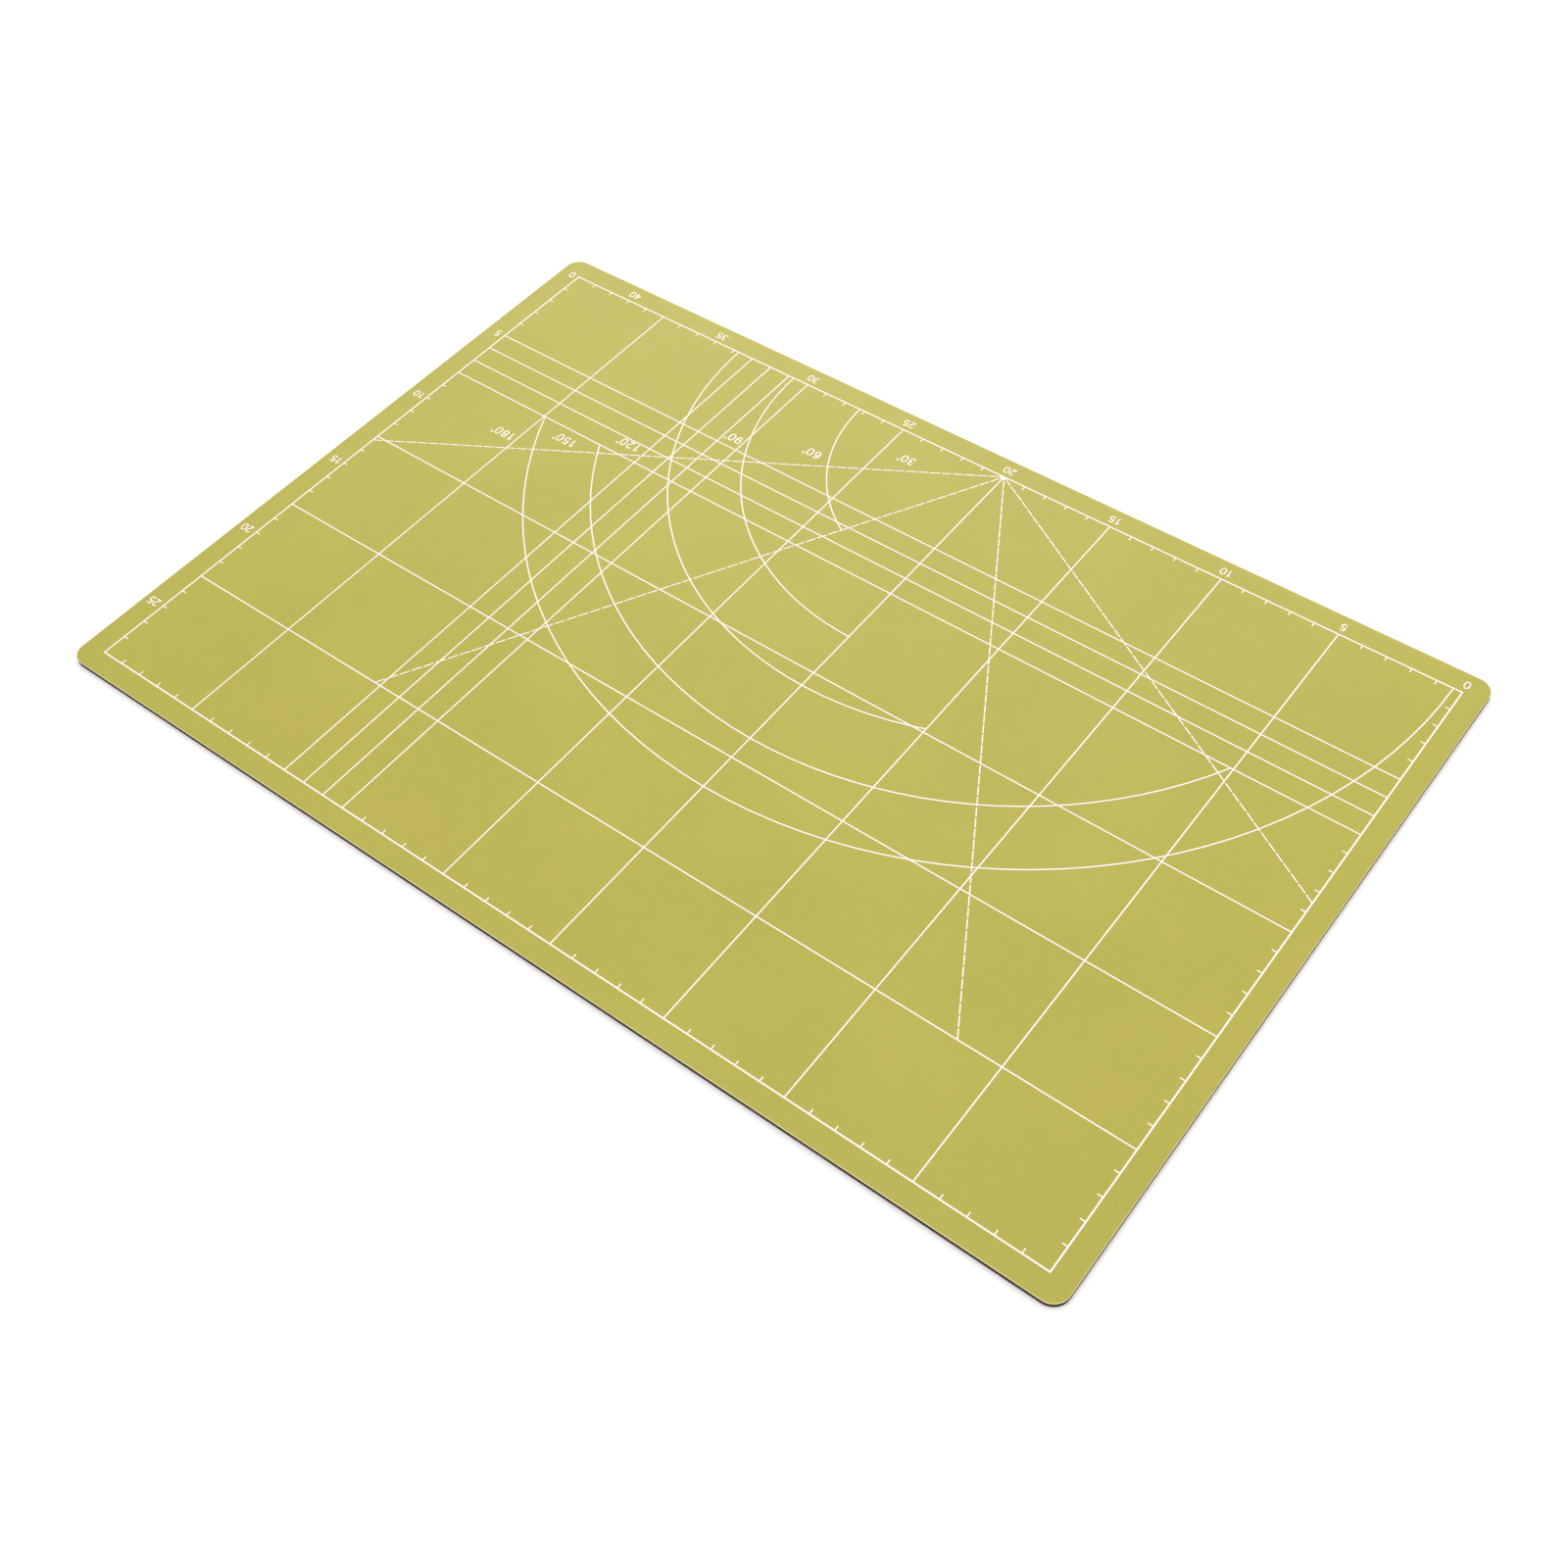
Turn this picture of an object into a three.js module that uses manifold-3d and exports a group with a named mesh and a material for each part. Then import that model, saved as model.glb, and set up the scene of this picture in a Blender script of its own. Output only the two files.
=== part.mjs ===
// A3 self-healing cutting mat: three vinyl plies pressed together, with a white measuring
// layout screen-printed on the upper face. Millimetres, +Z up.
// The origin is the middle of the underside. +X runs along the length scale, +Y up the width scale.

import * as THREE from "three";
import { mergeVertices } from "three/addons/utils/BufferGeometryUtils.js";
import Module from "manifold-3d";

const wasm = await Module();
wasm.setup();

// The sheet and its plies
const SHEET_LENGTH = 449;
const SHEET_WIDTH = 299;
const CORNER_RADIUS = 6.4;
const BOTTOM_SKIN = 0.5;
const CORE_SHEET = 1.5;
const TOP_SKIN = 0.5;

// The bare vinyl left round the printed frame, which sits a little off centre
const LEFT_MARGIN = 9;
const RIGHT_MARGIN = 10;
const LOWER_MARGIN = 10;
const UPPER_MARGIN = 9;

// The printed frame, grid and tick marks
const INK_THICKNESS = 0.05;
const GRID_SQUARE = 50;
const FINE_STEP = 10;
const SQUARES_BEFORE_FINE_X = 6;
const SQUARES_BEFORE_FINE_Y = 1;
const FRAME_LINE = 0.6;
const GRID_LINE = 0.52;
const TICK_LINE = 0.46;
const TICK_LENGTH = 2.1;

// The protractor: quarter and half circles about a point on the frame's lower line
const PROTRACTOR_SQUARES = 4;
const PIVOT_RADIUS = 1.8;
const RADIUS_TO_60 = 72.4;
const RADIUS_TO_90 = 107.5;
const RADIUS_TO_120 = 137.5;
const RADIUS_TO_150 = 169;
const RADIUS_TO_180 = 196.5;

// Numerals along the frame and beside the arcs
const SCALE_DIGIT = 3.8;
const ANGLE_DIGIT = 4.4;
const LENGTH_SCALE_GAP = 2.3;
const WIDTH_SCALE_GAP = 2.3;
const WIDTH_SCALE_RISE = 0.4;
const NARROW_ONE = 0.9;
const KNOCKOUT = 0.15;
const DEGREE_RADIUS = 0.48;
const DEGREE_STROKE = 0.32;
const DEGREE_GAP = 0.24;
const DEGREE_DROP = 0.3;

// Where each angle is written: millimetres right of and above the protractor's pivot
const ANGLE_LABELS = [
  { angle: 30, right: 34.5, up: 12 },
  { angle: 60, right: 69, up: 30.9 },
  { angle: 90, right: 101.2, up: 42.4 },
  { angle: 120, right: 133.2, up: 70.6 },
  { angle: 150, right: 157.1, up: 83.9 },
  { angle: 180, right: 181.4, up: 95.5 },
];

// Numeral proportions, as shares of the digit's height
const DIGIT_WIDTH = 0.63;
const DIGIT_STROKE = 0.13;
const SCALE_ADVANCE = 0.74;
const ANGLE_ADVANCE = 0.8;

// Smoothness of round shapes
const CORNER_STEPS = 8;
const ARC_STEP_DEGREES = 3;
const NUMERAL_STEP_DEGREES = 20;
const PIVOT_STEPS = 8;

// Sizes that follow from the ones above
const CORE_BASE = BOTTOM_SKIN;
const TOP_SKIN_BASE = CORE_BASE + CORE_SHEET;
const PRINT_BASE = TOP_SKIN_BASE + TOP_SKIN;
const PRINT_TOP = PRINT_BASE + INK_THICKNESS;
const FRAME_LENGTH = SHEET_LENGTH - LEFT_MARGIN - RIGHT_MARGIN;
const FRAME_WIDTH = SHEET_WIDTH - LOWER_MARGIN - UPPER_MARGIN;
const PIVOT = new THREE.Vector2(PROTRACTOR_SQUARES * GRID_SQUARE, 0);
const SQUARE_CENTIMETRES = GRID_SQUARE / 10;

const vinylGreen = new THREE.MeshStandardMaterial({ color: 0xc3bb60, roughness: 0.62, metalness: 0 });
const vinylBlack = new THREE.MeshStandardMaterial({ color: 0x37312c, roughness: 0.7, metalness: 0 });
const whiteInk = new THREE.MeshStandardMaterial({ color: 0xf8f6ea, roughness: 0.55, metalness: 0 });

/** A rectangle with round corners, centred on the origin. */
function roundedSheet(length, width, radius) {
  const x = length / 2 - radius;
  const y = width / 2 - radius;
  const outline = new THREE.Shape();
  outline.absarc(x, y, radius, 0, Math.PI / 2);
  outline.absarc(-x, y, radius, Math.PI / 2, Math.PI);
  outline.absarc(-x, -y, radius, Math.PI, Math.PI * 1.5);
  outline.absarc(x, -y, radius, Math.PI * 1.5, Math.PI * 2);
  return outline;
}

/** A flat outline made solid between two heights, which its neighbours share exactly. */
function slab(outline, low, high, curveSegments) {
  const geometry = new THREE.ExtrudeGeometry(outline, { depth: 1, bevelEnabled: false, curveSegments });
  const position = geometry.getAttribute("position");
  for (let i = 0; i < position.count; i += 1) {
    position.setZ(i, position.getZ(i) > 0.5 ? high : low);
  }
  return geometry;
}

/** A closed geometry as a manifold-3d solid, ready to be joined or cut. */
function solidFrom(geometry) {
  geometry.deleteAttribute("normal");
  geometry.deleteAttribute("uv");
  const merged = mergeVertices(geometry, 1e-5);
  return new wasm.Manifold(
    new wasm.Mesh({
      numProp: 3,
      vertProperties: merged.getAttribute("position").array,
      triVerts: new Uint32Array(merged.index.array),
    }),
  );
}

/** A manifold-3d solid as a three.js geometry. */
function geometryFrom(solid) {
  const mesh = solid.getMesh();
  const geometry = new THREE.BufferGeometry();
  geometry.setAttribute("position", new THREE.BufferAttribute(mesh.vertProperties, 3));
  geometry.setIndex(new THREE.BufferAttribute(mesh.triVerts, 1));
  geometry.computeVertexNormals();
  return geometry;
}

/** A layer of ink in the shape of an outline. */
function ink(outline, curveSegments) {
  return solidFrom(slab(outline, PRINT_BASE, PRINT_TOP, curveSegments));
}

function joined(solids) {
  return solids.reduce((whole, solid) => whole.add(solid));
}

/** Points along an ellipse from one angle to another, in degrees; a falling angle runs clockwise. */
function oval(centreX, centreY, radiusX, radiusY, from, to, step = NUMERAL_STEP_DEGREES) {
  const count = Math.ceil(Math.abs(to - from) / step);
  return Array.from({ length: count + 1 }, (_, i) => {
    const angle = THREE.MathUtils.degToRad(from + ((to - from) * i) / count);
    return new THREE.Vector2(centreX + radiusX * Math.cos(angle), centreY + radiusY * Math.sin(angle));
  });
}

/** An inked line of even width that follows a path of points, mitred where it turns. */
function line(path, width) {
  const left = [];
  const right = [];
  path.forEach((point, i) => {
    const arriving = point.clone().sub(path[i - 1] ?? point).normalize();
    const leaving = (path[i + 1] ?? point).clone().sub(point).normalize();
    const along = arriving.clone().add(leaving).normalize();
    const reach = width / 2 / Math.max(along.dot(arriving), along.dot(leaving));
    const side = new THREE.Vector2(-along.y, along.x).multiplyScalar(reach);
    left.push(point.clone().add(side));
    right.unshift(point.clone().sub(side));
  });
  return ink(new THREE.Shape([...left, ...right].reverse()));
}

function straight(x0, y0, x1, y1, width) {
  return line([new THREE.Vector2(x0, y0), new THREE.Vector2(x1, y1)], width);
}

/** An inked rectangle between two corners. */
function block(x0, y0, x1, y1) {
  return straight(x0, (y0 + y1) / 2, x1, (y0 + y1) / 2, y1 - y0);
}

/** An oval ring of even width. straightSide is the length of its upright sides. */
function ring(centreX, centreY, radiusX, radiusY, width, straightSide = 0) {
  const loop = (offset) => [
    ...oval(centreX, centreY + straightSide / 2, radiusX + offset, radiusY + offset, 0, 180),
    ...oval(centreX, centreY - straightSide / 2, radiusX + offset, radiusY + offset, 180, 360),
  ];
  const closed = (points) => points.filter((point, i) => point.distanceTo(points.at(i - 1)) > 1e-6);
  const outline = new THREE.Shape(closed(loop(width / 2)));
  outline.holes.push(new THREE.Path(closed(loop(-width / 2))));
  return ink(outline);
}

/**
 * The grid lines across one side of the frame: whole squares counted from its start, a finely
 * divided band that takes up what is left over, then whole squares to its end.
 */
function gridPlaces(length, squaresBefore) {
  const bandStart = squaresBefore * GRID_SQUARE;
  const bandEnd = bandStart + (length % GRID_SQUARE);
  const places = [];
  for (let place = GRID_SQUARE; place <= bandStart; place += GRID_SQUARE) {
    places.push(place);
  }
  for (let place = bandStart + FINE_STEP; place < bandEnd; place += FINE_STEP) {
    places.push(place);
  }
  for (let place = bandEnd; place < length; place += GRID_SQUARE) {
    if (place > bandStart) {
      places.push(place);
    }
  }
  return places;
}

const columns = gridPlaces(FRAME_LENGTH, SQUARES_BEFORE_FINE_X);
const rows = gridPlaces(FRAME_WIDTH, SQUARES_BEFORE_FINE_Y);

/** Every fine step along one side of the frame that no grid line already marks. */
function tickPlaces(length, gridLines) {
  const places = [];
  for (let place = FINE_STEP; place < length; place += FINE_STEP) {
    if (gridLines.every((gridLine) => Math.abs(gridLine - place) > GRID_LINE)) {
      places.push(place);
    }
  }
  return places;
}

function frameLines() {
  const half = FRAME_LINE / 2;
  return [
    block(-half, -half, FRAME_LENGTH + half, half),
    block(-half, FRAME_WIDTH - half, FRAME_LENGTH + half, FRAME_WIDTH + half),
    block(-half, -half, half, FRAME_WIDTH + half),
    block(FRAME_LENGTH - half, -half, FRAME_LENGTH + half, FRAME_WIDTH + half),
  ];
}

function gridLines() {
  return [
    ...columns.map((x) => straight(x, 0, x, FRAME_WIDTH, GRID_LINE)),
    ...rows.map((y) => straight(0, y, FRAME_LENGTH, y, GRID_LINE)),
  ];
}

function tickMarks() {
  const alongLength = tickPlaces(FRAME_LENGTH, columns).flatMap((x) => [
    straight(x, 0, x, TICK_LENGTH, TICK_LINE),
    straight(x, FRAME_WIDTH - TICK_LENGTH, x, FRAME_WIDTH, TICK_LINE),
  ]);
  const alongWidth = tickPlaces(FRAME_WIDTH, rows).flatMap((y) => [
    straight(0, y, TICK_LENGTH, y, TICK_LINE),
    straight(FRAME_LENGTH - TICK_LENGTH, y, FRAME_LENGTH, y, TICK_LINE),
  ]);
  return [...alongLength, ...alongWidth];
}

/** The protractor's arcs, which end on the frame, on grid lines or on the 60 and 90 degree directions. */
function protractorArcs() {
  const degrees = THREE.MathUtils.radToDeg;
  const bandTop = SQUARES_BEFORE_FINE_Y * GRID_SQUARE + (FRAME_WIDTH % GRID_SQUARE);
  const columnBeforePivot = -GRID_SQUARE;
  const lowOn150 = degrees(Math.asin(bandTop / RADIUS_TO_150));
  const lowOn180 = degrees(Math.asin(bandTop / RADIUS_TO_180));
  const spans = [
    [RADIUS_TO_60, 0, 60],
    [RADIUS_TO_90, 0, 90],
    [RADIUS_TO_120, 0, degrees(Math.acos(columnBeforePivot / RADIUS_TO_120))],
    [RADIUS_TO_150, lowOn150, 180 - lowOn150],
    [RADIUS_TO_180, lowOn180, 180],
  ];
  return spans.map(([radius, from, to]) =>
    line(oval(PIVOT.x, PIVOT.y, radius, radius, from, to, ARC_STEP_DEGREES), GRID_LINE),
  );
}

/** The filled half disc at the protractor's centre. */
function pivotMark() {
  const outline = new THREE.Shape();
  outline.absarc(PIVOT.x, PIVOT.y, PIVOT_RADIUS, 0, Math.PI);
  return ink(outline, PIVOT_STEPS);
}

// Strokes of each numeral in a box one unit high, with its lower left corner at the origin
const LEFT = DIGIT_STROKE / 2;
const MIDDLE = DIGIT_WIDTH / 2;
const RIGHT = DIGIT_WIDTH - DIGIT_STROKE / 2;
const LOW = DIGIT_STROKE / 2;
const HIGH = 1 - DIGIT_STROKE / 2;
const WAIST = 0.545;
const BOWL_TOP = 0.595;
const HALF_WIDTH = (RIGHT - LEFT) / 2;
const LOWER_RADIUS = (WAIST - LOW) / 2;
const UPPER_RADIUS = (HIGH - WAIST) / 2;
const UPPER_HALF_WIDTH = HALF_WIDTH * 0.88;
const BOWL_RADIUS = (BOWL_TOP - LOW) / 2;
const point = (x, y) => new THREE.Vector2(x, y);

const numerals = {
  0: { rings: [[MIDDLE, 0.5, HALF_WIDTH, HIGH - 0.62, 0.24]] },
  1: { paths: [[point(0.4, 0), point(0.4, 1)], oval(0.13, 0.98, 0.25, 0.23, -90, -5)] },
  2: {
    paths: [
      [...oval(MIDDLE, HIGH - 0.25, HALF_WIDTH, 0.25, 165, -30), point(0.13, 0.14), point(0.09, LOW)],
      [point(0.03, LOW), point(DIGIT_WIDTH - 0.01, LOW)],
    ],
  },
  3: {
    paths: [
      [...oval(MIDDLE, WAIST + UPPER_RADIUS, UPPER_HALF_WIDTH, UPPER_RADIUS, 155, -90), point(0.22, WAIST)],
      [point(0.22, WAIST), ...oval(MIDDLE, LOW + LOWER_RADIUS, HALF_WIDTH, LOWER_RADIUS, 90, -155)],
    ],
  },
  4: {
    paths: [
      [point(0.44, 0), point(0.44, 1)],
      [point(0, 0.28), point(DIGIT_WIDTH, 0.28)],
      [point(0.42, 0.93), point(0.08, 0.32)],
    ],
  },
  5: {
    paths: [
      [point(0.57, HIGH), point(0.15, HIGH), point(0.1, 0.47)],
      oval(MIDDLE, LOW + BOWL_RADIUS, HALF_WIDTH, BOWL_RADIUS, 145, -155),
    ],
  },
  6: {
    rings: [[MIDDLE, LOW + BOWL_RADIUS, HALF_WIDTH, BOWL_RADIUS, 0]],
    paths: [[point(LEFT, LOW + BOWL_RADIUS), ...oval(MIDDLE, 0.52, HALF_WIDTH, HIGH - 0.52, 180, 35)]],
  },
  8: {
    rings: [
      [MIDDLE, WAIST + UPPER_RADIUS, UPPER_HALF_WIDTH, UPPER_RADIUS, 0],
      [MIDDLE, LOW + LOWER_RADIUS, HALF_WIDTH, LOWER_RADIUS, 0],
    ],
  },
};

/** One numeral in ink, with its lower left corner at x, y. A nine is a six turned half round. */
function numeral(digit, x, y, height) {
  const turned = digit === "9";
  const { rings = [], paths = [] } = numerals[turned ? "6" : digit];
  const placeX = (value) => x + height * (turned ? DIGIT_WIDTH - value : value);
  const placeY = (value) => y + height * (turned ? 1 - value : value);
  const stroke = DIGIT_STROKE * height;
  return joined([
    ...rings.map(([centreX, centreY, radiusX, radiusY, side]) =>
      ring(placeX(centreX), placeY(centreY), radiusX * height, radiusY * height, stroke, side * height),
    ),
    ...paths.map((path) => line(path.map(({ x: px, y: py }) => point(placeX(px), placeY(py))), stroke)),
  ]);
}

/** A number written in digits, each a piece of its own. x, y is the first digit's lower left corner. */
function writtenNumber(name, value, x, y, height, advance) {
  return [...String(value)].map((digit, i) => ({
    name: `${name}_digit_${i + 1}`,
    solid: numeral(digit, x + i * advance * height, y, height),
  }));
}

function lengthScale() {
  const labels = [];
  for (let place = 0; place <= FRAME_LENGTH; place += GRID_SQUARE) {
    const value = Math.round((place / GRID_SQUARE) * SQUARE_CENTIMETRES);
    const lastDigit = String(value).length - 1;
    const written = SCALE_DIGIT * (DIGIT_WIDTH + lastDigit * SCALE_ADVANCE);
    const baseline = -LENGTH_SCALE_GAP - SCALE_DIGIT;
    const name = `length_scale_${value}`;
    labels.push(writtenNumber(name, value, place - written / 2, baseline, SCALE_DIGIT, SCALE_ADVANCE));
  }
  return labels;
}

/** The numbers up the far end of the frame. One that begins with a narrow 1 stands closer to it. */
function widthScale() {
  const labels = [];
  for (let place = 0; place <= FRAME_WIDTH; place += GRID_SQUARE) {
    const value = Math.round((place / GRID_SQUARE) * SQUARE_CENTIMETRES);
    const baseline = place + WIDTH_SCALE_RISE - SCALE_DIGIT / 2;
    const start = FRAME_LENGTH + WIDTH_SCALE_GAP - (String(value).startsWith("1") ? NARROW_ONE : 0);
    labels.push(writtenNumber(`width_scale_${value}`, value, start, baseline, SCALE_DIGIT, SCALE_ADVANCE));
  }
  return labels;
}

function angleLabels() {
  return ANGLE_LABELS.map(({ angle, right, up }) => {
    const x = PIVOT.x + right;
    const y = PIVOT.y + up;
    const digits = writtenNumber(`angle_${angle}`, angle, x, y, ANGLE_DIGIT, ANGLE_ADVANCE);
    const digitsEnd = x + ((digits.length - 1) * ANGLE_ADVANCE + DIGIT_WIDTH) * ANGLE_DIGIT;
    const signX = digitsEnd + DEGREE_GAP + DEGREE_RADIUS + DEGREE_STROKE / 2;
    const signY = y + ANGLE_DIGIT - DEGREE_DROP;
    const sign = ring(signX, signY, DEGREE_RADIUS, DEGREE_RADIUS, DEGREE_STROKE);
    return [...digits, { name: `angle_${angle}_degree_sign`, solid: sign }];
  });
}

/** The space that a label needs clear of lines. */
function knockout(label) {
  const boxes = label.map(({ solid }) => solid.boundingBox());
  const low = (axis) => Math.min(...boxes.map((box) => box.min[axis])) - KNOCKOUT;
  const high = (axis) => Math.max(...boxes.map((box) => box.max[axis])) + KNOCKOUT;
  return block(low(0), low(1), high(0), high(1));
}

const sheetOutline = roundedSheet(SHEET_LENGTH, SHEET_WIDTH, CORNER_RADIUS);

function ply(name, low, high, material) {
  const mesh = new THREE.Mesh(slab(sheetOutline, low, high, CORNER_STEPS), material.clone());
  mesh.name = name;
  return mesh;
}

function printed(name, solid) {
  const mesh = new THREE.Mesh(geometryFrom(solid), whiteInk.clone());
  mesh.name = name;
  return mesh;
}

const mat = new THREE.Group();
mat.name = "self_healing_mat";
mat.add(ply("bottom_skin", 0, CORE_BASE, vinylBlack));
mat.add(ply("core_sheet", CORE_BASE, TOP_SKIN_BASE, vinylBlack));
mat.add(ply("top_skin", TOP_SKIN_BASE, PRINT_BASE, vinylGreen));

// The print is laid out from the frame's lower left corner.
const print = new THREE.Group();
print.position.set(LEFT_MARGIN - SHEET_LENGTH / 2, LOWER_MARGIN - SHEET_WIDTH / 2, 0);
mat.add(print);

const labels = [...lengthScale(), ...widthScale(), ...angleLabels()];
const insideFrame = block(
  -FRAME_LINE / 2,
  -FRAME_LINE / 2,
  FRAME_LENGTH + FRAME_LINE / 2,
  FRAME_WIDTH + FRAME_LINE / 2,
);
const lines = joined([...frameLines(), ...gridLines(), ...tickMarks(), ...protractorArcs(), pivotMark()]);
print.add(printed("line_print", lines.intersect(insideFrame).subtract(joined(labels.map(knockout)))));
labels.flat().forEach(({ name, solid }) => print.add(printed(name, solid)));

export default mat;
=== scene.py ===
"""An A3 self-healing cutting mat: three vinyl plies and a white screen print, on a pale studio floor.

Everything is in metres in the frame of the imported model: the origin is the middle of the underside,
X runs along the length scale, Y up the width scale and Z out of the printed face.
"""

import math

import bpy
from mathutils import Matrix, Quaternion, Vector


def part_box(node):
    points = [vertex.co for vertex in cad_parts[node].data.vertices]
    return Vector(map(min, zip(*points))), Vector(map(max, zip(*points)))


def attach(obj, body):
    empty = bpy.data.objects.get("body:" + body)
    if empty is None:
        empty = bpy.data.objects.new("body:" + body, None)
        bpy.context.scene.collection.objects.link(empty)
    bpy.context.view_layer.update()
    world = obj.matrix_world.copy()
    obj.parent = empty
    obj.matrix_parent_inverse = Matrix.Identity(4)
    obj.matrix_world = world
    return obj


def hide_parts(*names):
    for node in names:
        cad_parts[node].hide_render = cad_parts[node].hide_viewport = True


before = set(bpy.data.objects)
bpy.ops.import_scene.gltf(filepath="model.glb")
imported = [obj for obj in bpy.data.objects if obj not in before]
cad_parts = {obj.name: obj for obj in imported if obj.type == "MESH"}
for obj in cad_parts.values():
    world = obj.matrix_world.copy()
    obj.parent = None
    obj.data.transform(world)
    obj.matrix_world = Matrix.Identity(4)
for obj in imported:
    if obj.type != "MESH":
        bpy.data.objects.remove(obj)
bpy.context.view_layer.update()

MM = 0.001

# Sheet
SHEET_LOW, SHEET_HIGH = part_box("bottom_skin")[0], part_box("top_skin")[1]
SHEET_LENGTH = SHEET_HIGH[0] - SHEET_LOW[0]
SHEET_WIDTH = SHEET_HIGH[1] - SHEET_LOW[1]
CORNER_RADIUS = 6.4 * MM
CORNER_STEPS = 16
EASED_EDGE = 0.2 * MM
EASED_STEPS = 3
CORE_SETBACK = 0.05 * MM
PLIES = ("top_skin", "core_sheet", "bottom_skin")

# Print: the frame line's middle runs round the printed area
FRAME_LINE = 0.6 * MM
PRINT_LOW = [value + FRAME_LINE / 2 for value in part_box("line_print")[0][:2]]
PRINT_HIGH = [value - FRAME_LINE / 2 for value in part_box("line_print")[1][:2]]
INK_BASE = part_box("line_print")[0][2]
INK_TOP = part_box("line_print")[1][2]
GRID_SQUARE = 50 * MM

# Protractor: its pivot is four squares along the frame's lower line, and its rays are dashed.
# The dashes are a hair lower than the lines that they cross, so that no two faces coincide.
PIVOT_ALONG = 4 * GRID_SQUARE
PIVOT = Vector((PRINT_LOW[0] + PIVOT_ALONG, PRINT_LOW[1], 0))
PIVOT_CLEAR = 2.3 * MM
DASH_PITCH = 4.8 * MM
DASH_GAP = 0.6 * MM
DASH_WIDTH = 0.48 * MM
DASH_ROUNDING = 0.12 * MM
DASH_ROUNDING_STEPS = 3
DASH_TOP = INK_TOP - 0.005 * MM
FIRST_GAP = 1.85 * MM
FIRST_GAP_ON_150 = 1.1 * MM

# Modelling
SAME_PLACE = 1e-6
SMOOTH_ANGLE = math.radians(40)
# Faces less level than this, the eased rim among them, take the cut material; on the green ply that paints
# an arris highlight.
LEVEL_NORMAL = 0.99
FACE_SLOT, CUT_SLOT = 0, 1

# Materials. The roller that embosses the vinyl leaves a grain of about 0.3 mm. It is drawn coarser, so
# that it can show in a render. Drag marks of the die run twenty times as far up a cut as along it.
VINYL_IOR = 1.53
INK_IOR = 1.5
FLOOR_IOR = 1.5
ROLLER_GRAIN = 0.8 * MM
DRAG_STRETCH = (1, 1, 0.05)
SPECK_CORE = 0.6

# Noise values between which a pattern fades in
CLOUD_SPAN = (0.35, 0.65)
WIDE_SPAN = (0.3, 0.7)

# The colour mix's own sockets, among those that a Mix node holds for every kind of data
MIX_FACTOR, MIX_UNDER, MIX_OVER, MIX_RESULT = 0, 6, 7, 2

# Studio floor, open under the mat so that its underside is lit and can be seen from below
FLOOR_SIZE = 12
FLOOR_LAP = 3 * MM
WORLD_STRENGTH = 1.0

# Softboxes: where each stands, its width and height, and its power in watts
SOFTBOXES = {
    "overhead_softbox": ((0.2, 0.2, 2.4), (1.6, 1.6), 9.5),
    "far_softbox": ((0.5, -1.2, 1.0), (1.4, 0.8), 6),
    "corner_softbox": ((1.3, -1.4, 0.9), (1.6, 0.8), 2.5),
    "left_softbox": ((-1.3, -0.6, 1.3), (1.2, 1.2), 2.3),
}

# Camera, with its lens and sensor in millimetres
CAMERA_LENS = 44.75
CAMERA_SENSOR = 36
CAMERA_PLACE = Vector((-0.3167, 0.3707, 0.5537))
CAMERA_AIM = Vector((-0.0386, 0.0393, 0.0026))
CAMERA_ROLL = math.radians(-3.52)


# ---------------------------------------------------------------- modelling helpers


def start_box(name, low, high):
    """A box between two corners, alone in the selection, with its place in its mesh."""
    bpy.ops.object.select_all(action="DESELECT")
    middle = [(a + b) / 2 for a, b in zip(low, high)]
    size = [b - a for a, b in zip(low, high)]
    bpy.ops.mesh.primitive_cube_add(size=1, location=middle, scale=size)
    bpy.ops.object.transform_apply(location=True, rotation=True, scale=True)
    piece = bpy.context.object
    piece.name = piece.data.name = name
    return piece


def bevel_edges(piece, radius, steps, wanted):
    """Rounds the edges whose two ends pass the test."""
    bpy.ops.object.mode_set(mode="EDIT")
    bpy.ops.mesh.select_mode(type="EDGE")
    bpy.ops.mesh.select_all(action="DESELECT")
    bpy.ops.object.mode_set(mode="OBJECT")
    points = piece.data.vertices
    for edge in piece.data.edges:
        edge.select = wanted(*(points[i].co for i in edge.vertices))
    bpy.ops.object.mode_set(mode="EDIT")
    bpy.ops.mesh.bevel(offset=radius, offset_type="OFFSET", segments=steps, affect="EDGES")
    bpy.ops.object.mode_set(mode="OBJECT")


def upright(a, b):
    return (a.xy - b.xy).length < SAME_PLACE


def level_at(height):
    return lambda a, b: abs(a.z - height) < SAME_PLACE and abs(b.z - height) < SAME_PLACE


def smooth(piece):
    bpy.ops.object.select_all(action="DESELECT")
    piece.select_set(True)
    bpy.context.view_layer.objects.active = piece
    bpy.ops.object.shade_smooth_by_angle(angle=SMOOTH_ANGLE)


def finish_piece(piece, material, node=None):
    """Gives a piece its material and its place in the assembly, and hides the node that it stands for."""
    piece.data.materials.append(material)
    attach(piece, "root")
    if node:
        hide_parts(node)


# ---------------------------------------------------------------- material helpers


def srgb(hex_colour):
    """A screen colour such as C3BB60 as linear red, green, blue and alpha."""
    channels = [int(hex_colour[i : i + 2], 16) / 255 for i in (0, 2, 4)]
    return [c / 12.92 if c <= 0.04045 else ((c + 0.055) / 1.055) ** 2.4 for c in channels] + [1.0]


def add(tree, kind, inputs, output=0, **settings):
    """Adds a node and returns one of its outputs. An input takes a value or another node's output."""
    node = tree.nodes.new("ShaderNode" + kind)
    for name, value in settings.items():
        setattr(node, name, value)
    for name, value in inputs.items():
        if isinstance(value, bpy.types.NodeSocket):
            tree.links.new(value, node.inputs[name])
        else:
            node.inputs[name].default_value = value
    return node.outputs[output]


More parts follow.
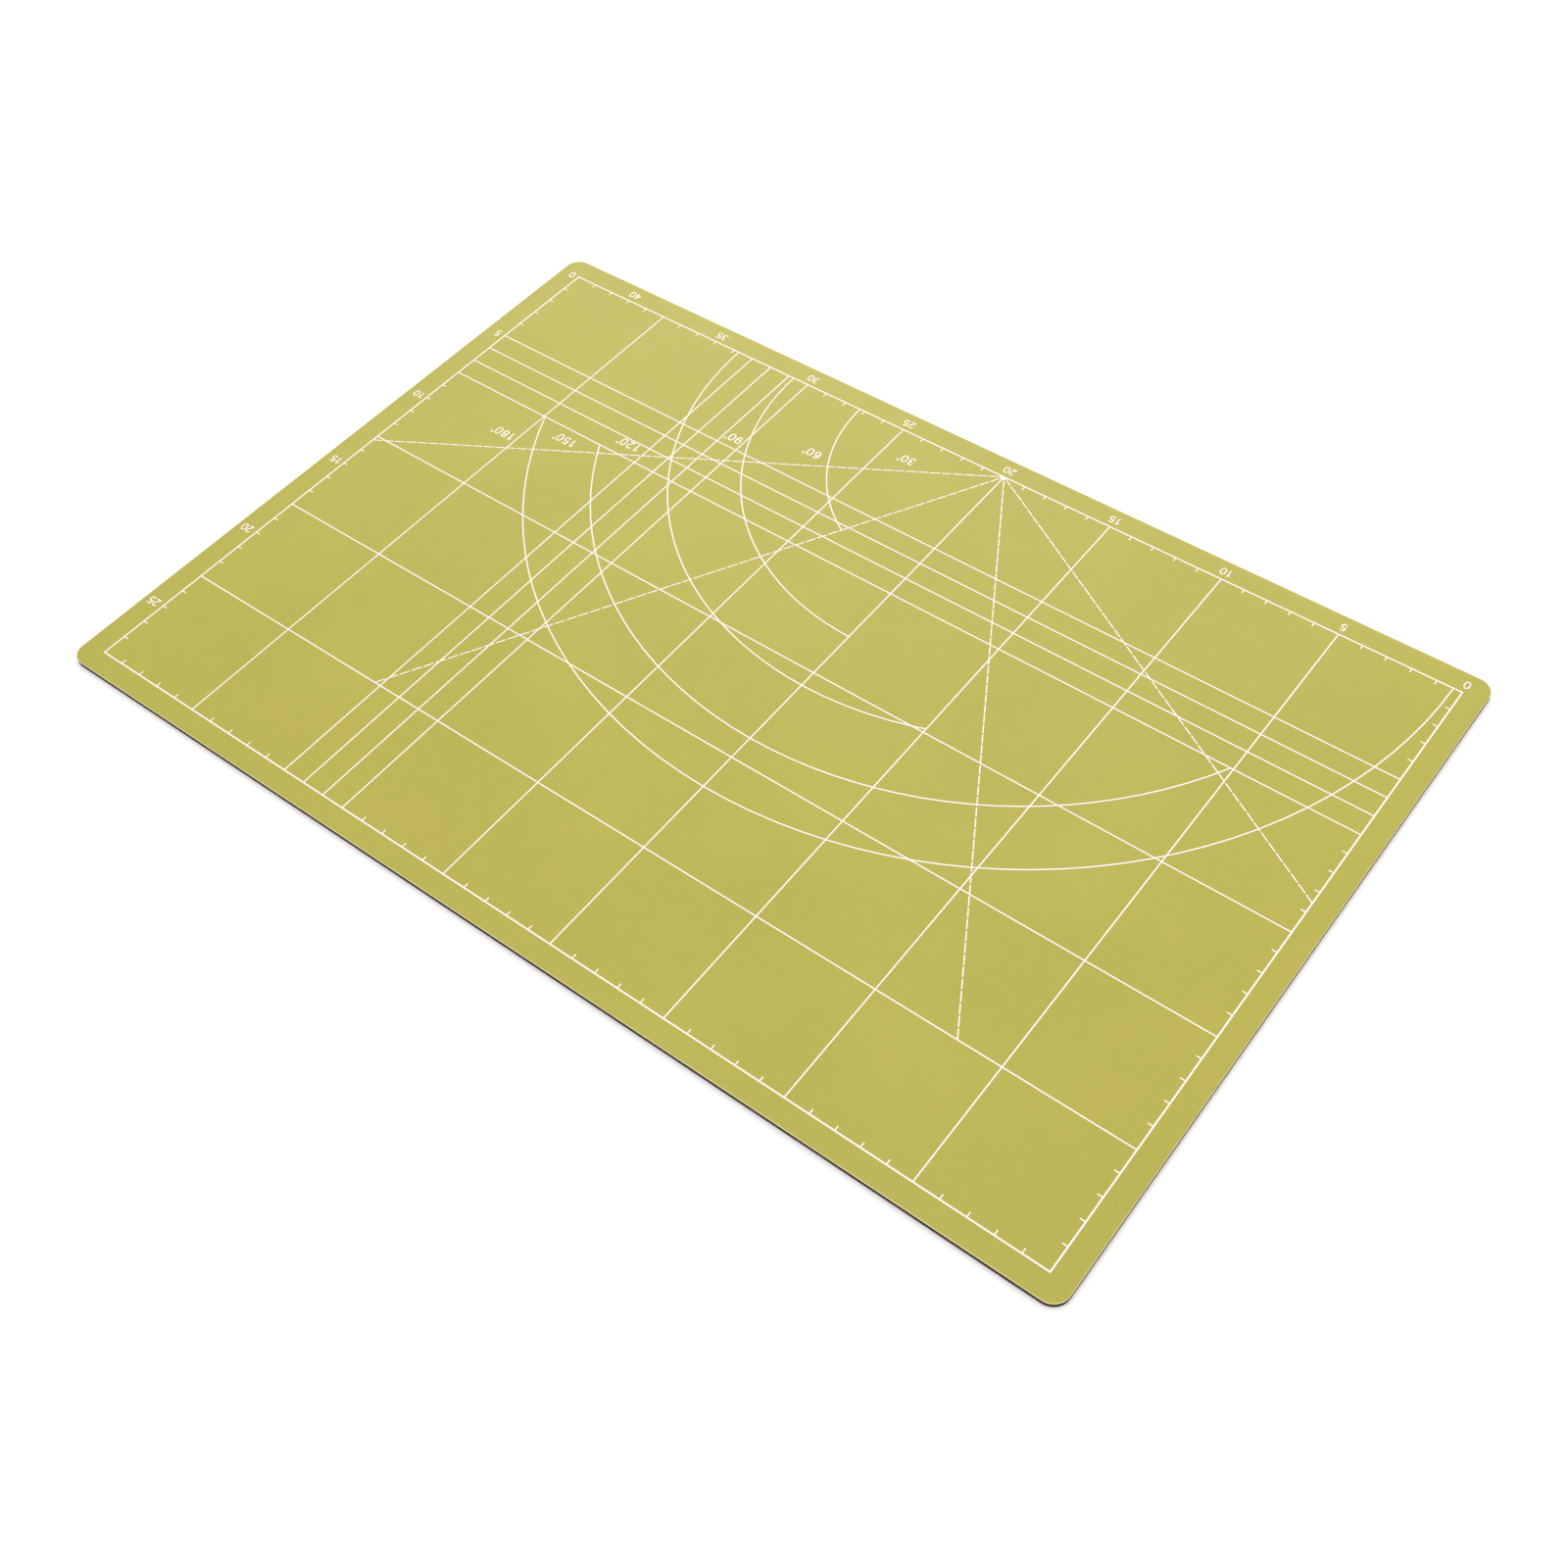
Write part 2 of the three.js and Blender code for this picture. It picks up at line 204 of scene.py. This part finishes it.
def new_material(name, ior):
    """An empty material, its object coordinates in metres, and its shader joined to the output."""
    material = bpy.data.materials.new(name)
    material.use_nodes = True
    tree = material.node_tree
    tree.nodes.clear()
    place = add(tree, "TexCoord", {}, "Object")
    shader = add(tree, "BsdfPrincipled", {"IOR": ior}).node
    surface = tree.nodes.new("ShaderNodeOutputMaterial").inputs["Surface"]
    tree.links.new(shader.outputs["BSDF"], surface)
    return material, tree, place, shader


def colour_from(tree, shader, base, *layers):
    """Colours laid over a base. A layer is a pattern, the span it fades in over, how far, and a colour."""
    colour = base
    for pattern, (start, full), cover_most, over in layers:
        fade = {"Value": pattern, "From Min": start, "From Max": full, "To Max": cover_most}
        cover = add(tree, "MapRange", fade)
        mix = {MIX_FACTOR: cover, MIX_UNDER: colour, MIX_OVER: over}
        colour = add(tree, "Mix", mix, MIX_RESULT, data_type="RGBA")
    tree.links.new(colour, shader.inputs["Base Color"])


def roughness_from(tree, shader, pattern, least, most):
    """Roughness that follows a pattern."""
    start, full = WIDE_SPAN
    fade = {"Value": pattern, "From Min": start, "From Max": full, "To Min": least, "To Max": most}
    tree.links.new(add(tree, "MapRange", fade), shader.inputs["Roughness"])


def emboss(tree, shader, *layers):
    """Bumps laid one on the other, each a height pattern and its depth in metres."""
    bumps = {}
    for height, depth in layers:
        bumps.update({"Height": height, "Distance": depth, "Strength": 1.0})
        bumps["Normal"] = add(tree, "Bump", bumps)
    tree.links.new(bumps["Normal"], shader.inputs["Normal"])


def specks(tree, place, spacing, size, share):
    """1 inside a few round specks and 0 elsewhere. spacing is their grid, share how many cells have one."""
    cells = add(tree, "TexVoronoi", {"Vector": place, "Scale": 1 / spacing}).node
    edge = size / spacing
    fade = {"Value": cells.outputs["Distance"], "From Min": edge * SPECK_CORE, "From Max": edge}
    near = add(tree, "MapRange", fade | {"To Min": 1, "To Max": 0})
    draw = add(tree, "SeparateColor", {"Color": cells.outputs["Color"]}, "Red")
    chosen = add(tree, "Math", {0: draw, 1: share}, operation="LESS_THAN")
    return add(tree, "Math", {0: near, 1: chosen}, operation="MULTIPLY")


def drag_marks(tree, place, width, **contrast):
    """Fine upright marks that a die drags down a cut side."""
    along = add(tree, "Mapping", {"Vector": place, "Scale": DRAG_STRETCH})
    return add(tree, "TexNoise", {"Vector": along, "Scale": 1 / width} | contrast)


# ---------------------------------------------------------------- materials


def calendered_green_vinyl():
    """Soft PVC rolled between matt-embossed cylinders: an even satin, faintly clouded pigment."""
    material, tree, place, shader = new_material("calendered_green_vinyl", VINYL_IOR)
    clouds = add(tree, "TexNoise", {"Vector": place, "Scale": 1 / (60 * MM), "Detail": 3})
    flecks = add(tree, "TexNoise", {"Vector": place, "Scale": 1 / (5 * MM), "Detail": 4, "Roughness": 0.6})
    roller = add(tree, "TexNoise", {"Vector": place, "Scale": 1 / ROLLER_GRAIN, "Detail": 2})
    dust = specks(tree, place, spacing=17 * MM, size=0.35 * MM, share=0.35)
    colour_from(
        tree,
        shader,
        srgb("A29A31"),
        (clouds, CLOUD_SPAN, 1, srgb("A69E35")),
        (flecks, (0.4, 0.75), 0.5, srgb("AAA03B")),
        (dust, (0, 1), 1, srgb("837B28")),
    )
    roughness_from(tree, shader, flecks, 0.46, 0.54)
    emboss(tree, shader, (clouds, 0.08 * MM), (roller, 0.012 * MM))
    return material


def calendered_dark_vinyl():
    """The underside: soft dark PVC with the same roller grain, left unprinted."""
    material, tree, place, shader = new_material("calendered_dark_vinyl", VINYL_IOR)
    clouds = add(tree, "TexNoise", {"Vector": place, "Scale": 1 / (45 * MM), "Detail": 3})
    flecks = add(tree, "TexNoise", {"Vector": place, "Scale": 1 / (4 * MM), "Detail": 4, "Roughness": 0.6})
    roller = add(tree, "TexNoise", {"Vector": place, "Scale": 1 / ROLLER_GRAIN, "Detail": 2})
    dust = specks(tree, place, spacing=15 * MM, size=0.4 * MM, share=0.4)
    colour_from(
        tree,
        shader,
        srgb("322D29"),
        (clouds, CLOUD_SPAN, 1, srgb("3A342F")),
        (flecks, (0.45, 0.8), 0.6, srgb("46403A")),
        (dust, (0, 1), 1, srgb("6A635A")),
    )
    roughness_from(tree, shader, flecks, 0.5, 0.62)
    emboss(tree, shader, (clouds, 0.08 * MM), (roller, 0.015 * MM))
    return material


def cut_green_vinyl_painted_highlight():
    """Cut green vinyl and its eased rim: paler partly from stress and partly as a painted arris highlight,
    with drag marks.
    """
    material, tree, place, shader = new_material("cut_green_vinyl_painted_highlight", VINYL_IOR)
    marks = drag_marks(tree, place, 0.5 * MM, Detail=3)
    # These pale colours are partly stress whitening and partly a painted highlight along the top arris.
    colour_from(tree, shader, srgb("BDB472"), (marks, WIDE_SPAN, 1, srgb("D8D096")))
    roughness_from(tree, shader, marks, 0.4, 0.6)
    emboss(tree, shader, (marks, 0.03 * MM))
    return material


def cut_dark_vinyl(name, dark, light):
    """The cut side of a dark ply: torn dull, so it hardly mirrors, with upright drag marks from the die."""
    material, tree, place, shader = new_material(name, VINYL_IOR)
    marks = drag_marks(tree, place, 0.7 * MM, Detail=4, Roughness=0.6)
    colour_from(tree, shader, srgb(dark), (marks, (0.3, 0.75), 1, srgb(light)))
    roughness_from(tree, shader, marks, 0.7, 0.9)
    shader.inputs["Specular IOR Level"].default_value = 0.25
    emboss(tree, shader, (marks, 0.04 * MM))
    return material


def screen_print_ink():
    """White vinyl ink pushed through a mesh: chalky, a little thin where the mesh held it back."""
    material, tree, place, shader = new_material("screen_print_ink", INK_IOR)
    thin = add(tree, "TexNoise", {"Vector": place, "Scale": 1 / (0.9 * MM), "Detail": 3, "Roughness": 0.6})
    film = add(tree, "TexNoise", {"Vector": place, "Scale": 1 / (14 * MM), "Detail": 2})
    colour_from(
        tree,
        shader,
        srgb("EAE5DE"),
        (film, CLOUD_SPAN, 1, srgb("E7E2D9")),
        (thin, (0.58, 0.8), 0.4, srgb("D5CDB4")),
    )
    roughness_from(tree, shader, thin, 0.48, 0.6)
    emboss(tree, shader, (thin, 0.01 * MM))
    return material


def painted_floor():
    """A pale, dull studio floor."""
    material, tree, place, shader = new_material("painted_floor", FLOOR_IOR)
    clouds = add(tree, "TexNoise", {"Vector": place, "Scale": 1 / (400 * MM), "Detail": 2})
    colour_from(tree, shader, srgb("FAFAF9"), (clouds, WIDE_SPAN, 1, srgb("FDFDFD")))
    shader.inputs["Roughness"].default_value = 0.9
    return material


# ---------------------------------------------------------------- the plies


def ply(name, node, setback, eased, face, cut):
    """One ply of the laminate. eased is the face whose rim is softened, or None inside the stack."""
    low, high = (list(corner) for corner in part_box(node))
    for axis in (0, 1):
        low[axis] += setback
        high[axis] -= setback
    piece = start_box(name, low, high)
    bevel_edges(piece, CORNER_RADIUS - setback, CORNER_STEPS, upright)
    if eased:
        bevel_edges(piece, EASED_EDGE, EASED_STEPS, level_at(high[2] if eased == "upper" else low[2]))
    finish_piece(piece, face, node)
    piece.data.materials.append(cut)
    # The sides and the eased rim take the cut material; on the green ply its paler colour is partly a
    # painted arris highlight.
    for polygon in piece.data.polygons:
        polygon.material_index = FACE_SLOT if abs(polygon.normal.z) > LEVEL_NORMAL else CUT_SLOT
    smooth(piece)


def build_plies():
    green = calendered_green_vinyl()
    dark = calendered_dark_vinyl()
    # The green ply's cut material also paints a highlight along its top arris.
    green_cut_painted_highlight = cut_green_vinyl_painted_highlight()
    core_cut = cut_dark_vinyl("cut_core_vinyl", "2C1A10", "452C1E")
    skin_cut = cut_dark_vinyl("cut_lower_vinyl", "27170E", "3E281B")
    ply("green_skin", "top_skin", 0, "upper", green, green_cut_painted_highlight)
    ply("core", "core_sheet", CORE_SETBACK, None, core_cut, core_cut)
    ply("dark_skin", "bottom_skin", 0, "lower", dark, skin_cut)


# ---------------------------------------------------------------- the print


def dash_between(pattern, begin, end, turn):
    """A copy of the pattern dash, shortened to fit, from begin to end along a turned ray."""
    dash = pattern.copy()
    dash.data = pattern.data.copy()
    bpy.context.collection.objects.link(dash)
    shortened = Matrix.Scale((end - begin) / (DASH_PITCH - DASH_GAP), 4, (1, 0, 0))
    dash.data.transform(turn @ Matrix.Translation((begin, 0, 0)) @ shortened)
    return dash


def dashed_ray(degrees, reach, first_gap, ink):
    """Dashes from the protractor's pivot outwards. first_gap is how far out the first gap's middle is."""
    turn = Matrix.Translation(PIVOT) @ Matrix.Rotation(math.radians(degrees), 4, "Z")
    length = DASH_PITCH - DASH_GAP
    half = DASH_WIDTH / 2
    pattern = start_box("dash_pattern", (0, -half, INK_BASE), (length, half, DASH_TOP))
    bevel_edges(pattern, DASH_ROUNDING, DASH_ROUNDING_STEPS, upright)
    dashes = []
    start = first_gap + DASH_GAP / 2
    while start < reach:
        begin = max(start, PIVOT_CLEAR)
        end = min(start + length, reach)
        if end - begin > DASH_WIDTH:
            dashes.append(dash_between(pattern, begin, end, turn))
        start += DASH_PITCH
    bpy.data.objects.remove(pattern)
    bpy.ops.object.select_all(action="DESELECT")
    for dash in dashes:
        dash.select_set(True)
    bpy.context.view_layer.objects.active = dashes[0]
    bpy.ops.object.join()
    ray = bpy.context.object
    ray.name = ray.data.name = f"ray_{degrees}_degrees"
    finish_piece(ray, ink)


def build_rays(ink):
    """The steep rays end on the grid line one square below the frame's top, the others at its sides."""
    rise = PRINT_HIGH[1] - PRINT_LOW[1] - GRID_SQUARE
    run_right = PRINT_HIGH[0] - PRINT_LOW[0] - PIVOT_ALONG
    cosine = math.cos(math.radians(30))
    sine = math.sin(math.radians(60))
    dashed_ray(30, run_right / cosine, FIRST_GAP, ink)
    dashed_ray(60, rise / sine, FIRST_GAP, ink)
    dashed_ray(120, rise / sine, FIRST_GAP, ink)
    dashed_ray(150, PIVOT_ALONG / cosine, FIRST_GAP_ON_150, ink)


def build_print():
    ink = screen_print_ink()
    for name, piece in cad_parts.items():
        if name not in PLIES:
            piece.data.materials.clear()
            piece.data.materials.append(ink)
    build_rays(ink)


# ---------------------------------------------------------------- studio


def lay_floor():
    """A square plane with a hole cut out under the mat, which laps over the hole's rim."""
    bpy.ops.object.select_all(action="DESELECT")
    bpy.ops.mesh.primitive_plane_add(size=FLOOR_SIZE, location=(0, 0, 0))
    floor = bpy.context.object
    floor.name = "floor"
    opening = (SHEET_LENGTH - 2 * FLOOR_LAP, SHEET_WIDTH - 2 * FLOOR_LAP, 1)
    bpy.ops.object.mode_set(mode="EDIT")
    bpy.ops.mesh.select_all(action="SELECT")
    # The inset leaves a square one metre wide, so the opening's size is also its scale.
    bpy.ops.mesh.inset(thickness=(FLOOR_SIZE - 1) / 2)
    bpy.ops.transform.resize(value=opening, center_override=(0, 0, 0))
    bpy.ops.mesh.delete(type="FACE")
    bpy.ops.object.mode_set(mode="OBJECT")
    floor.data.materials.append(painted_floor())


def soft_light(name, place, size, power):
    """A rectangular softbox aimed at the middle of the mat."""
    lamp = bpy.data.lights.new(name, "AREA")
    lamp.shape = "RECTANGLE"
    lamp.size, lamp.size_y = size
    lamp.energy = power
    light = bpy.data.objects.new(name, lamp)
    bpy.context.scene.collection.objects.link(light)
    light.location = place
    light.rotation_euler = (-Vector(place)).to_track_quat("-Z", "Y").to_euler()


def light_studio():
    """White surroundings and the softboxes."""
    world = bpy.data.worlds.new("studio")
    world.use_nodes = True
    background = world.node_tree.nodes["Background"]
    background.inputs["Color"].default_value = (1, 1, 1, 1)
    background.inputs["Strength"].default_value = WORLD_STRENGTH
    bpy.context.scene.world = world
    for name, (place, size, power) in SOFTBOXES.items():
        soft_light(name, place, size, power)
    bpy.context.scene.view_settings.view_transform = "Standard"


def set_camera():
    """A view from beyond the mat's upper edge, with a slight roll."""
    lens = bpy.data.cameras.new("camera")
    lens.lens = CAMERA_LENS
    lens.sensor_width = CAMERA_SENSOR
    camera = bpy.data.objects.new("camera", lens)
    bpy.context.scene.collection.objects.link(camera)
    aimed = (CAMERA_AIM - CAMERA_PLACE).to_track_quat("-Z", "Y")
    camera.location = CAMERA_PLACE
    camera.rotation_euler = (aimed @ Quaternion((0, 0, 1), CAMERA_ROLL)).to_euler()
    bpy.context.scene.camera = camera


set_camera()
build_plies()
build_print()
lay_floor()
light_studio()
